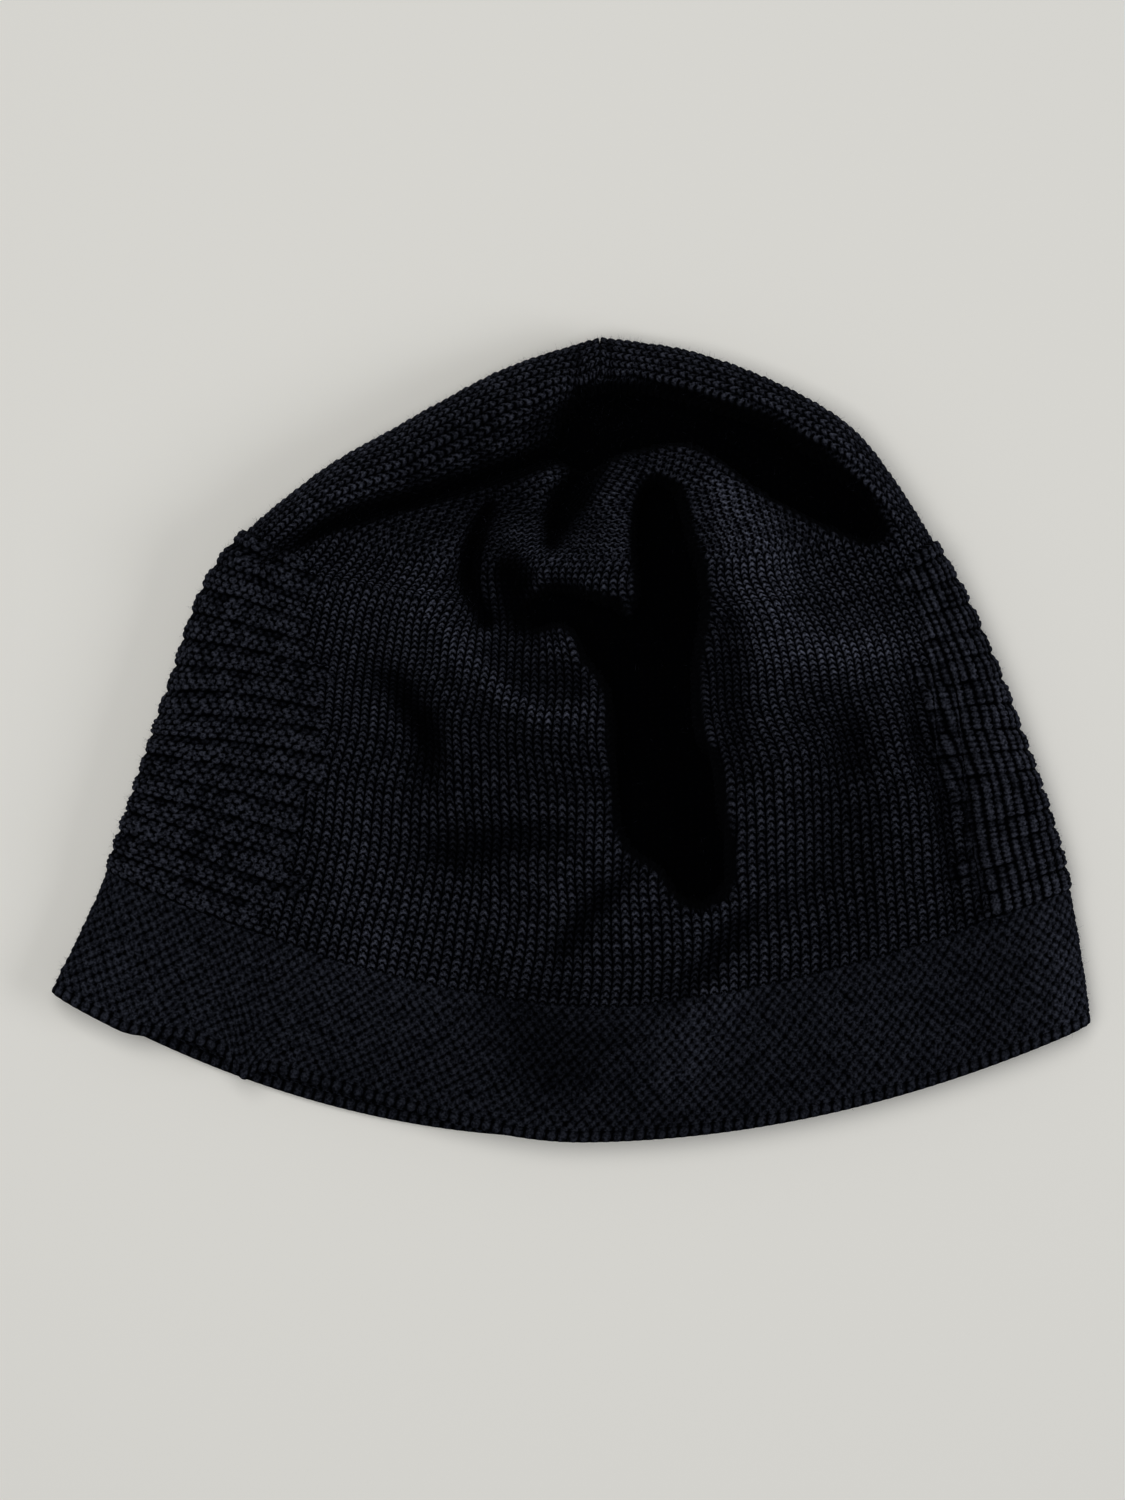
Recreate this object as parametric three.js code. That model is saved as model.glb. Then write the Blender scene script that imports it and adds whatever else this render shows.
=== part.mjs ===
// Knit beanie lying flat on its back layer, crown towards +Y, mouth towards -Y. Millimetres, +Z up.
// The cap is one knitted tube, flattened: a front layer over a back layer, joined by a rounded fold
// at each side and by the gathered tip at the crown. Each zone of stitches is a closed shell of its own.
import * as THREE from 'three';

// Driving dimensions, mm
const WALL = 2.6; // knitted fabric
const EDGE_WALL = 3.2; // the cast-on chain is a little thicker than the fabric
const GAP = 0.45; // clearance between neighbouring pieces
const FOLD_RADIUS = 9; // side fold, seen from above
const FOLD_HEIGHT = 8; // height of the outermost line of the side fold
const ROLL_HEIGHT = 22; // puffed roll along the crown
const VALLEY_HEIGHT = 13.5; // hollow between the roll and the front panel
const ROLL_REACH = 9; // from the outline to the top of the roll
const VALLEY_REACH = 24; // from the outline to the bottom of the valley
const FIELD_REACH = 46; // from the outline to the open field
const ROLL_STARTS_Y = 28; // the roll and its valley fade in between these two heights up the cap
const ROLL_FULL_Y = 62;
const FIELD_HEIGHT = 24; // front layer in the middle of the cap
const FIELD_CENTRE = [8, -5]; // where the front layer stands highest
const FIELD_SPREAD = [80, 75]; // how far that rise spreads across and along the cap
const SIDE_HEIGHT = 15.5; // front layer beside the folds
const HEM_LIFT = 6; // the front edge stands back from the rear edge on the left
const HEM_LIFT_RANGE = [-118, -90, -40, 10]; // x where the step back starts, is full, starts to close and ends

// The outline from each hem corner to the tip, and the height of each row on the centre line
const TIP = [7.5, 104];
const LEFT_OUTLINE = [[-135, -66], [-121, -36.5], [-105, 10], [-92, 44], [-68, 67], [-44, 81.5], [-17, 96], TIP];
const RIGHT_OUTLINE = [[135, -74], [128, -34], [114, 8], [99.5, 41], [78, 75], [60, 89], [33, 100], TIP];
const CENTRE_ROWS = [[0, -104.5], [0.15, -69], [0.33, -20], [0.5, 26], [0.6, 44], [0.75, 63], [0.9, 80], [1, 92]];

// A row's curve is a power of its distance from the middle: gentle at the mouth, level across the crown
const MOUTH_ROW_POWER = 2;
const CROWN_ROW_POWER = 4;
const ROW_POWER_RANGE = [0.2, 0.6, 0.75, 0.95]; // t where the power starts to grow, is full, starts to fall and ends
const WIDEST_FOLD = 0.8; // the most of half a row that a side fold takes, near the tip

// Where one zone ends and the next begins: t runs from the mouth to the tip, s across from -1 to 1
const T_EDGE = 0.014;
const T_HEM = 0.15;
const T_CROWN = 0.6;
const T_TIP = 0.93;
const S_LEFT = -0.57;
const S_RIGHT = 0.7;
const TIP_ROWS = [T_TIP, 0.955, 0.978, 0.996];

// How the mesh runs round the cap: e goes from -1 to 1 across one layer, and the folds take its two ends
const FLAT = 0.84; // share of a layer between its two folds
const SEAM_SCALE = 0.913; // e of a seam on the flat stretch, as a share of its s
const FOLD_STEPS = [0.88, 0.92, 0.96];
const STEP = 0.004; // step along the face when its direction is measured
const FRONT_STATIONS = 12;
const SIDE_STATIONS = 3;
const BACK_STATIONS = 6;
const GORE_STATIONS = 6;
const HEM_STEPS = 3; // rows of the mesh from seam to seam
const BODY_STEPS = 8;
const CROWN_STEPS = 8;
const TIP_FRONT = [-1, -0.94, -0.88, -0.7, -0.4, 0, 0.4, 0.7, 0.88, 0.94];
const TIP_BACK = [1, 0.94, 0.88, 0.5, 0, -0.5, -0.88, -0.94];
const LENGTH_DIVISIONS = 400;
const OUTLINE_SAMPLES = 90;

const COLOURS = { body: 0x17181b, hem: 0x1b1c20, edge: 0x202126, crown: 0x15161a, tip: 0x222327 };

const curve = (points) => {
  const spline = new THREE.SplineCurve(points.map(([x, y]) => new THREE.Vector2(x, y)));
  spline.arcLengthDivisions = LENGTH_DIVISIONS;
  return spline;
};
const leftOutline = curve(LEFT_OUTLINE);
const rightOutline = curve(RIGHT_OUTLINE);
const smooth = (a, b, x) => THREE.MathUtils.smoothstep(x, a, b);
const mix = THREE.MathUtils.lerp;

// Height along the centre line, a monotone blend between the listed rows
function centreRow(t) {
  const rows = CENTRE_ROWS;
  const k = Math.max(1, rows.findIndex(([at]) => t <= at));
  const slope = (i) => {
    const a = rows[Math.max(0, i - 1)];
    const b = rows[Math.min(rows.length - 1, i + 1)];
    return (b[1] - a[1]) / (b[0] - a[0]);
  };
  const [t0, y0] = rows[k - 1];
  const [t1, y1] = rows[k];
  const h = t1 - t0;
  const u = (t - t0) / h;
  const u2 = u * u;
  const u3 = u2 * u;
  return (2 * u3 - 3 * u2 + 1) * y0 + (u3 - 2 * u2 + u) * h * slope(k - 1)
    + (3 * u2 - 2 * u3) * y1 + (u3 - u2) * h * slope(k);
}

// Half the width of the cap along row t
const halfWidth = (t) => leftOutline.getPointAt(t).distanceTo(rightOutline.getPointAt(t)) / 2;

// The place of (s, t) seen from above
function plan(s, t, front) {
  const left = leftOutline.getPointAt(t);
  const right = rightOutline.getPointAt(t);
  const middle = centreRow(t);
  const edge = s < 0 ? left.y : right.y;
  const [grows, whole, falls, gone] = ROW_POWER_RANGE;
  const power = mix(MOUTH_ROW_POWER, CROWN_ROW_POWER, smooth(grows, whole, t) * (1 - smooth(falls, gone, t)));
  const x = mix(left.x, right.x, (s + 1) / 2);
  let y = middle + (edge - middle) * Math.abs(s) ** power;
  if (front) {
    const [starts, full, closes, ends] = HEM_LIFT_RANGE;
    y += HEM_LIFT * smooth(starts, full, x) * (1 - smooth(closes, ends, x)) * (1 - smooth(0, T_HEM, t));
  }
  return [x, y];
}

const outlinePoints = [leftOutline, rightOutline].flatMap((side) => side.getSpacedPoints(OUTLINE_SAMPLES));
const outlineDistance = (x, y) => Math.min(...outlinePoints.map((p) => Math.hypot(p.x - x, p.y - y)));

// Height of the front layer's outer face
function frontHeight(x, y) {
  const bell = (value, k) => Math.exp(-(((value - FIELD_CENTRE[k]) / FIELD_SPREAD[k]) ** 2));
  const field = mix(SIDE_HEIGHT, FIELD_HEIGHT, bell(x, 0) * bell(y, 1));
  const d = outlineDistance(x, y);
  const roll = mix(ROLL_HEIGHT, VALLEY_HEIGHT, smooth(ROLL_REACH, VALLEY_REACH, d));
  const crown = mix(roll, field, smooth(VALLEY_REACH, FIELD_REACH, d));
  return mix(field, crown, smooth(ROLL_STARTS_Y, ROLL_FULL_Y, y));
}

// A point on the outer face
function surface(front, e, t) {
  const half = halfWidth(t);
  const flatShare = 1 - Math.min(FOLD_RADIUS, WIDEST_FOLD * half) / half;
  const turn = Math.max(0, (Math.abs(e) - FLAT) / (1 - FLAT)) * (Math.PI / 2);
  const s = turn > 0
    ? Math.sign(e) * (flatShare + (1 - flatShare) * Math.sin(turn))
    : (e / FLAT) * flatShare;
  const [x, y] = plan(s, t, front);
  const height = front ? frontHeight(x, y) : 0;
  return new THREE.Vector3(x, y, mix(FOLD_HEIGHT, height, Math.cos(turn)));
}

// Outward direction at a point, from two short steps along the face
function outward(front, e, t) {
  const e0 = Math.max(-1, e - STEP);
  const e1 = Math.min(1, e + STEP);
  const t0 = Math.max(0, t - STEP);
  const t1 = Math.min(1, t + STEP);
  const across = surface(front, e1, t).sub(surface(front, e0, t));
  const along = surface(front, e, t1).sub(surface(front, e, t0));
  const normal = across.cross(along).normalize();
  return front ? normal : normal.negate();
}

// Stations round the cap: [front?, e, clearance to step off a boundary]. The list runs from the centre of
// the back, round the left fold, over the front and round the right fold, back to the centre of the back.
const steps = (a, b, n) => Array.from({ length: n - 1 }, (_, i) => mix(a, b, (i + 1) / n));

function stations(from, to, count, side = 0) {
  // from and to are [front, e, clearance sign]; side -1 or 1 takes the stretch over that fold
  if (side === 0) {
    return [from, ...steps(from[1], to[1], count).map((e) => [from[0], e, 0]), to];
  }
  const flat = side * FLAT;
  const up = [flat, ...FOLD_STEPS.map((f) => side * f)];
  return [
    from, ...steps(from[1], flat, count).map((e) => [from[0], e, 0]),
    ...up.map((e) => [from[0], e, 0]), [true, side, 0], ...up.reverse().map((e) => [to[0], e, 0]),
    ...steps(flat, to[1], count).map((e) => [to[0], e, 0]), to,
  ];
}

// One closed shell over a stretch of stations and a stretch of rows
function shell(around, rows, wall) {
  const outer = [];
  const inner = [];
  for (const [t, rowClearance] of rows) {
    const tt = t + rowClearance * (GAP / 2) / leftOutline.getLength();
    for (const [front, e, clearance] of around) {
      const ee = e + clearance * (GAP / 2) / halfWidth(tt);
      const p = surface(front, ee, tt);
      const n = outward(front, ee, tt);
      outer.push(p);
      inner.push(p.clone().addScaledVector(n, -wall));
    }
  }
  return solid(outer, inner, around.length, rows.length);
}

// Two grids of points and the rim between them, as one closed body
function solid(outer, inner, across, along) {
  const positions = [...outer, ...inner].flatMap((p) => [p.x, p.y, p.z]);
  const shift = outer.length;
  const faces = [];
  const quad = (a, b, c, d) => faces.push(a, b, c, a, c, d);
  const id = (i, j) => j * across + i;
  for (let j = 0; j + 1 < along; j += 1) {
    for (let i = 0; i + 1 < across; i += 1) {
      quad(id(i, j), id(i + 1, j), id(i + 1, j + 1), id(i, j + 1));
      quad(shift + id(i, j), shift + id(i, j + 1), shift + id(i + 1, j + 1), shift + id(i + 1, j));
    }
  }
  const rim = (a, b) => quad(b, a, shift + a, shift + b);
  for (let i = 0; i + 1 < across; i += 1) {
    rim(id(i, 0), id(i + 1, 0));
    rim(id(i + 1, along - 1), id(i, along - 1));
  }
  for (let j = 0; j + 1 < along; j += 1) {
    rim(id(0, j + 1), id(0, j));
    rim(id(across - 1, j), id(across - 1, j + 1));
  }
  return closed(positions, faces);
}

// A geometry whose faces point out
function closed(positions, faces) {
  const at = (i) => new THREE.Vector3(...positions.slice(3 * i, 3 * i + 3));
  let volume = 0;
  for (let k = 0; k < faces.length; k += 3) {
    volume += at(faces[k]).dot(at(faces[k + 1]).cross(at(faces[k + 2])));
  }
  if (volume < 0) faces.reverse();
  const geometry = new THREE.BufferGeometry();
  geometry.setAttribute('position', new THREE.Float32BufferAttribute(positions, 3));
  geometry.setIndex(faces);
  geometry.computeVertexNormals();
  return geometry;
}

// The drawn-in tip: the last rows of both layers, closed on themselves and filled
function tip() {
  const rows = TIP_ROWS.map((t, j) => t + (j ? 0 : (GAP / 2) / leftOutline.getLength()));
  const ring = [
    ...TIP_FRONT.map((e) => [true, e]),
    ...TIP_BACK.map((e) => [false, e]),
  ];
  const points = rows.flatMap((t) => ring.map(([front, e]) => surface(front, e, t)));
  const n = ring.length;
  const faces = [];
  for (let j = 0; j + 1 < rows.length; j += 1) {
    for (let i = 0; i < n; i += 1) {
      const k = (i + 1) % n;
      faces.push(j * n + i, j * n + k, (j + 1) * n + k, j * n + i, (j + 1) * n + k, (j + 1) * n + i);
    }
  }
  const cap = (start, flip) => {
    const centre = new THREE.Vector3();
    for (let i = 0; i < n; i += 1) centre.add(points[start + i]);
    points.push(centre.divideScalar(n));
    for (let i = 0; i < n; i += 1) {
      const a = start + i;
      const b = start + ((i + 1) % n);
      faces.push(...(flip ? [b, a] : [a, b]), points.length - 1);
    }
  };
  cap(0, true);
  cap((rows.length - 1) * n, false);
  return closed(points.flatMap((p) => [p.x, p.y, p.z]), faces);
}

const rowsBetween = (a, b, n) => [[a, a > 0 ? 1 : 0], ...steps(a, b, n).map((t) => [t, 0]), [b, -1]];
const EDGE_ROWS = rowsBetween(0, T_EDGE, 1);
const HEM_ROWS = rowsBetween(T_EDGE, T_HEM, HEM_STEPS);
const BODY_ROWS = rowsBetween(T_HEM, T_CROWN, BODY_STEPS);
const CROWN_ROWS = rowsBetween(T_CROWN, T_TIP, CROWN_STEPS);

const LEFT = S_LEFT * SEAM_SCALE;
const RIGHT = S_RIGHT * SEAM_SCALE;
const FRONT_ZONE = stations([true, LEFT, 1], [true, RIGHT, -1], FRONT_STATIONS);
const LEFT_ZONE = stations([false, LEFT, -1], [true, LEFT, -1], SIDE_STATIONS, -1);
const RIGHT_ZONE = stations([true, RIGHT, 1], [false, RIGHT, 1], SIDE_STATIONS, 1);
const BACK_ZONE = stations([false, RIGHT, -1], [false, LEFT, 1], BACK_STATIONS);
const LEFT_GORE = stations([false, 0, -1], [true, 0, -1], GORE_STATIONS, -1);
const RIGHT_GORE = stations([true, 0, 1], [false, 0, 1], GORE_STATIONS, 1);
const REAR_EDGE_ZONE = [
  ...RIGHT_ZONE.slice(0, -1),
  ...stations([false, RIGHT, 0], [false, LEFT, 0], BACK_STATIONS),
  ...LEFT_ZONE.slice(1),
];

const PIECES = [
  ['front_panel', 'body', FRONT_ZONE, BODY_ROWS, WALL],
  ['left_side_panel', 'body', LEFT_ZONE, BODY_ROWS, WALL],
  ['right_side_panel', 'body', RIGHT_ZONE, BODY_ROWS, WALL],
  ['back_panel', 'body', BACK_ZONE, BODY_ROWS, WALL],
  ['hem_front', 'hem', FRONT_ZONE, HEM_ROWS, WALL],
  ['hem_left', 'hem', LEFT_ZONE, HEM_ROWS, WALL],
  ['hem_right', 'hem', RIGHT_ZONE, HEM_ROWS, WALL],
  ['hem_back', 'hem', BACK_ZONE, HEM_ROWS, WALL],
  ['cast_on_edge_front', 'edge', FRONT_ZONE, EDGE_ROWS, EDGE_WALL],
  ['cast_on_edge_back', 'edge', REAR_EDGE_ZONE, EDGE_ROWS, EDGE_WALL],
  ['crown_left_gore', 'crown', LEFT_GORE, CROWN_ROWS, WALL],
  ['crown_right_gore', 'crown', RIGHT_GORE, CROWN_ROWS, WALL],
];

function mesh(name, colour, geometry) {
  const material = new THREE.MeshStandardMaterial({ color: COLOURS[colour], roughness: 0.95, metalness: 0 });
  const piece = new THREE.Mesh(geometry, material);
  piece.name = name;
  return piece;
}

const beanie = new THREE.Group();
for (const [name, colour, around, rows, wall] of PIECES) {
  beanie.add(mesh(name, colour, shell(around, rows, wall)));
}
beanie.add(mesh('crown_tip', 'tip', tip()));

// The origin is the middle of the bottom face of the cap's box
const box = new THREE.Box3().setFromObject(beanie);
const centre = box.getCenter(new THREE.Vector3());
beanie.position.set(-centre.x, -centre.y, -box.min.z);

export default beanie;
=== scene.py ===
"""Black knitted beanie lying flat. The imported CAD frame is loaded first; the knitted fabric is then built
over it, stitch by stitch, as closed shells that stand for the CAD shells. Lengths are millimetres until a
mesh is made."""
import math

import bpy
import numpy as np
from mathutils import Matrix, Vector


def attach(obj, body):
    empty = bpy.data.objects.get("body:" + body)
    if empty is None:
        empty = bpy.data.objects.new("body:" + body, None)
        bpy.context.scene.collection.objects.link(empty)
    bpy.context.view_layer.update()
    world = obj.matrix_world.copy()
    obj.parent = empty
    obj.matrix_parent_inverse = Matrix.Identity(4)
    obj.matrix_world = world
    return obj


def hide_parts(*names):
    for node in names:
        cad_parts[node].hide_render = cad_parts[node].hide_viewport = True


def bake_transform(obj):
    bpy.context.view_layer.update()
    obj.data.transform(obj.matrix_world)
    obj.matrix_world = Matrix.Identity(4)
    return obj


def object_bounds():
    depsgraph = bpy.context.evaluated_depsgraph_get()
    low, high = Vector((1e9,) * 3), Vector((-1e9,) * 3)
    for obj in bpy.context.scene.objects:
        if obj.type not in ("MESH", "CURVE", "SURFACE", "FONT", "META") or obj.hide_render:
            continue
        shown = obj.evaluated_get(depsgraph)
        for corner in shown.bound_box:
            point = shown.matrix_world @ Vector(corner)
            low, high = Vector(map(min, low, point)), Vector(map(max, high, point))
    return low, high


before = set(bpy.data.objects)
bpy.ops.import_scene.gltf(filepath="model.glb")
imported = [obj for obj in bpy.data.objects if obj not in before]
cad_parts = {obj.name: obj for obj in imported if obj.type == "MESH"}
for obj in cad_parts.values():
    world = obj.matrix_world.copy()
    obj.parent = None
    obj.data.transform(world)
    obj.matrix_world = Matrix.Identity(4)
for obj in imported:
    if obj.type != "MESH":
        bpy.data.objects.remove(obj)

CAD_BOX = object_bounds()
MM = 0.001

# ---------------------------------------------------------------- driving dimensions, mm
TIP = (7.5, 104.0)
LEFT_OUTLINE = [(-135, -66), (-121, -36.5), (-105, 10), (-92, 44), (-68, 67), (-44, 81.5), (-17, 96), TIP]
RIGHT_OUTLINE = [(135, -74), (128, -34), (114, 8), (99.5, 41), (78, 75), (60, 89), (33, 100), TIP]
CENTRE_ROWS = [(0, -104.5), (0.15, -69), (0.33, -12), (0.5, 29), (0.6, 44), (0.75, 63), (0.9, 80), (1, 92)]
# A row's curve from its middle to a side fold: share of the way t, power, and how far it levels off
ROW_BEND = [(0, 2, 0), (0.15, 1.6, 0), (0.22, 1.5, 1.0), (0.33, 1.5, 1.7), (0.5, 1.6, 1.7), (0.6, 4, 0),
            (0.75, 4, 0), (0.95, 2, 0)]
T_HEM, T_MIDDLE, T_CROWN, T_TIP = 0.15, 0.33, 0.6, 0.93
T_LAST = 0.9992          # the last row, drawn in to a slit a fraction of a millimetre wide
FOLD_RADIUS, FOLD_HEIGHT = 9.0, 8.0
WIDEST_FOLD = 0.8        # the most of half a row that a side fold takes, near the tip
FOLD_ARC = 13.4          # length of fabric in the quarter turn of a fold
SIDE_HEIGHT, FIELD_HEIGHT, MOUTH_HEIGHT = 15.0, 26.0, 12.5
FIELD_CENTRE, FIELD_SPREAD = (14, 4), (78, 80)   # where the front stands highest, and how far that spreads
MOUTH_RANGE = (-0.02, 0.2)                       # t over which the front rises from its height at the mouth
ROLL_HEIGHT, ROLL_REACH, ROLL_FOOT = 23.0, 9.0, 30   # puffed roll: from the outline to its top and its foot
ROLL_RANGE = (28, 62)    # y over which the roll fades in
REST_HEIGHT = 0.9        # the back layer's base, so that its stitches stand on the surface
LEAST_HEIGHT = 7.0       # the front layer rests on the back layer here
REST_SOFTNESS = 1.2      # how gently it comes down to that height
UNEVENNESS = [(0.7, 26, 3), (0.35, 11, 4)]   # slow unevenness of the front: height, size, seed
HEM_LIFT = 5.6           # the front edge stands back from the rear edge on the left
HEM_LIFT_START, HEM_LIFT_END = (-118, -98), (-62, 4)   # x where the step back grows and where it closes
HEM_NOTCH_X, HEM_NOTCH_WIDTH, HEM_NOTCH_SHARE = -85, 3.5, 0.8   # a short place where it nearly closes
WALL = 2.2

# The knit: wales round one layer, rows from the mouth to the tip, and mesh cells in one stitch
WALES = 100
HEM_STITCH_ROWS, BODY_STITCH_ROWS, CROWN_STITCH_ROWS = 23, 66, 44
CROWN_ROW = HEM_STITCH_ROWS + BODY_STITCH_ROWS
MIDDLE_ROW = 54          # this row keeps level across the body, from one side fold to the other
ROWS = CROWN_ROW + CROWN_STITCH_ROWS
PANEL_ROWS = 60          # rows of the textured side panels, above the hem
RIDGE_ROWS = 3.85        # rows from one ridge of the side panels to the next
RIDGE_SWELL = 1.1        # how far the ridges stand out
SWELL_MIDDLE, SWELL_HALF = 0.42, 0.55    # middle and half-width of the swell, in ridges
SWELL_ENDS = (1, 5)      # wales from the fold over which the swell ends on the back layer
# Lines of bars in one ridge: shift across on the left panel in wales, place in the ridge, and size on the
# left and the right panel
BARS = [(0.0, 0.13, 0.95, 1.0), (0.45, 0.37, 1.0, 0.85), (0.05, 0.61, 0.95, 1.0), (0.5, 0.85, 0.62, 0.75)]
BAR_HALF, BAR_THICKNESS = 0.49, 0.135    # a bar's half-length in wales and half-thickness in ridges
BAR_RELIEF, BAR_BASE = 0.85, 0.1
FURROW_DEPTH, FURROW_HALF = 0.5, 0.11    # upright furrows of the right panel, two wales apart
ARCH_DROP, ARCH_HALF = 0.74, 0.44    # fall of an arch of yarn to its sides, and its half-thickness, rows
ARCH_TOPS = (-0.1, 0.9, 1.9)         # tops of the arches that can reach a place, in rows
ARCH_RELIEF, ARCH_ROUNDING, COLUMN_HALF = 0.80, 0.02, 0.51
BUMP_ACROSS, BUMP_ALONG, BUMP_RELIEF = 0.43, 0.41, 0.90      # purl bumps of the hem
CHAIN_ACROSS, CHAIN_ALONG, CHAIN_MIDDLE, CHAIN_RELIEF = 0.46, 1.15, 0.9, 0.6
BUMP_SHIFT, BUMP_SEEDS = (0.07, 0.05), (31, 32)              # how far a bump strays across and along
# How far a line of bars strays across in wales, and the share of that on the right panel
BAR_SHIFT, RIGHT_SHARE, SHIFT_SEED = 0.22, 0.6, 23
BAR_BOW, BOW_SEED = 0.05, 21
BAR_UNEVENNESS, UNEVEN_SEED = 0.36, 22
FAR_A, FAR_B, FAR_C = (3.7, 5.3), (5.9, 3.1), (4.1, 2.7)     # strides through noise, one stitch to the next
INNER_RELIEF = 0.75
INNER_BASE = 0.4                     # how far inside the wall the inner bumps start
LOOSENESS, LOOSE_SEED = (0.78, 1.10), 5      # each stitch's own share of its relief
EDGE_ROWS = 2            # rows of the cast-on edge
FRONT_CELLS, BACK_CELLS, ROW_CELLS = 8, 4, 4
CROWN_PITCH = 2.9        # wale pitch once the crown has taken its decreases
DECREASE_LENGTH = 0.14   # t over which the crown takes them
LEFT_WALE, RIGHT_WALE, MID_WALE = 21, 85, 50
# Widths of the side panels in wales at these shares of the way up, on the front layer and on the back one
PANEL_MARKS = (0, 0.3, 0.58, 1)
PANEL_LEFT = {True: (17.5, 20, 19, 13), False: (12, 14, 14, 11)}
PANEL_RIGHT = {True: (10, 12.4, 11.8, 7), False: (16, 18, 18, 14)}
PANEL_STEP, STEP_ROWS, STEP_SEED = 2.4, 3, 25        # their edges step this many wales, every few rows

SHIFT_Y = CAD_BOX[1][1] / MM - TIP[1]

# Rims of the two deep folds of the front layer. The wall falls from the lip outside to the floor inside.
FOLD_LIP, FOLD_WALL = 3.0, 1.6
SHADE_LIP, SHADE_WALL = 1.4, 1.4         # the light ends within this distance of the rim
PIT_DEPTH, VALLEY_DEPTH = 22.0, 19.0
VALLEY_SHALLOWS, VALLEY_RISE = (52, 86), 0.55    # x over which the valley's floor rises, and by what share
PIT_RIM = [(22.5, 66.5), (27, 63.5), (30.5, 51), (34, 37), (32, 20), (32.5, 2), (36.5, -6), (38.8, -20),
           (40.3, -30), (39.5, -38), (34, -42), (28, -40), (23, -33), (15.5, -28), (12.4, -20), (11.5, -9),
           (11, 1), (9.5, 13), (4, 21), (1.5, 27), (-3, 31), (-9, 30), (-10, 34.5), (-5, 37.5), (4, 36.5),
           (11, 34.5), (15.3, 32), (17.6, 38), (16.8, 50), (17.5, 60), (19.5, 65)]
VALLEY_RIM = [(3, 88), (10, 90.3), (21, 89.8), (31, 88), (40, 85), (51, 81.6), (62, 74.5), (72, 66.5),
              (77.5, 60), (80.5, 54), (77, 51), (68, 54.5), (59, 59), (47, 66), (38, 73), (30, 77), (20, 76),
              (12, 74), (4, 71), (-2, 74), (-1, 82)]
# Softer creases and ridges: points (x, y, half-width, depth or rise) along each
CREASES = [
    [(-79, 46, 3, 3), (-60, 56, 3, 7), (-40, 62, 3, 8), (-18, 69, 3.2, 10), (1, 76, 4, 14)],
    [(-16, 78, 4, 2), (-7, 80, 5, 6), (3, 83, 6, 12)],
    [(6, 73, 4.4, 9), (-1, 62, 5, 11), (-5, 51, 3.6, 5)],
    [(-21, 60, 2.6, 4), (-25, 50, 3, 9), (-26, 41, 3, 10), (-22, 31, 3, 5)],
    [(-19, 46, 5, 5), (-16, 41, 7, 11), (-12, 33, 7.5, 13), (-4, 35, 6.5, 12)],
    [(-17, 23, 5, 2.5), (-9, 19, 6, 4), (0, 16, 5, 3.5)],
    [(-56, 19, 3.5, 1), (-47, 15, 4.5, 5), (-41, 8, 5, 7), (-37, 1, 5, 7), (-37, -8, 5, 5),
     (-40, -17, 5, 1)],
    [(-43, -31, 6, 2), (-30, -29, 7, 6.5), (-15, -26, 5.5, 5.5), (0, -26, 4, 2.5)],
    [(-15, -11, 3, 0.5), (-2, -11.5, 3.2, 2), (11, -11, 3.2, 2)],
    [(15, -34, 4, 3), (6, -43, 4.5, 5.5), (-2, -53, 4.5, 4)],
    [(-23, -52, 5, 1), (-21, -64, 7, 3.5), (-14, -75, 11, 5), (-4, -84, 11, 5.5), (8, -78, 8, 2)],
    [(78, -27, 4, 0.4), (62, -38, 4, 1.8), (50, -44, 4, 3.2), (41, -51, 4.2, 4.6), (33, -60, 4.2, 4.2),
     (24, -67, 4.5, 2.4)],
    [(73, 1, 5, 3.5), (73, -5, 5, 3.5)],
    [(71, 10, 9, 1.5), (71, -14, 9, 2), (68, -34, 13, 2.5), (72, -50, 11, 1.5)],
    [(87, 16, 2.6, 1), (89, 0, 2.8, 4), (92, -14, 2.8, 1)],
    [(93, 16, 2.4, 1), (95, -12, 2.6, 3.5), (99, -46, 3, 2)],
    [(99, 13, 2.4, 1), (102, -16, 2.6, 3), (107, -46, 3, 2)],
    [(40, 30, 5, 2.5), (40, 10, 6, 4), (44, -10, 4, 1.5)],
    [(2.5, 104, 1.8, 2), (1.5, 90, 1.8, 2.5)],
    [(10, 105, 1.4, 1.6), (10, 94, 1.4, 1.8)],
    [(-46, 74, 3, 0.5), (-40, 67, 3, 2)],
    [(-27, 82, 3, 0.5), (-23, 73, 3, 2)],
    [(-14, 91, 2.5, 2), (-9, 86, 3, 2)],
]
RIDGES = [
    [(28, 73, 4, 1.5), (37, 67, 5.5, 4), (44, 57, 7, 5), (49, 44, 8, 6), (51, 31, 7, 5), (57, 25, 7, 3.5),
     (68, 20, 8, 3.5), (80, 24, 6, 3), (87, 29, 5, 1)],
    [(-42, 43, 6, 1), (-34, 28, 6, 3), (-25, 18, 5, 4), (-15, 9.5, 4, 4), (-6, 5, 4, 4), (4, 8, 4, 3),
     (8, 4, 4, 2)],
    [(11, 62, 5, 1.5), (11, 51, 6, 3.5), (12, 42, 5, 2.5)],
    [(36, -72, 9, 3), (28, -88, 9, 3)],
    [(-60, 62, 4, 0.5), (-40, 71, 6, 2), (-20, 80, 6, 2), (0, 92, 5, 2)],
    [(-52, -25, 11, 1.2), (-52, -50, 13, 1.2)],
]
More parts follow.
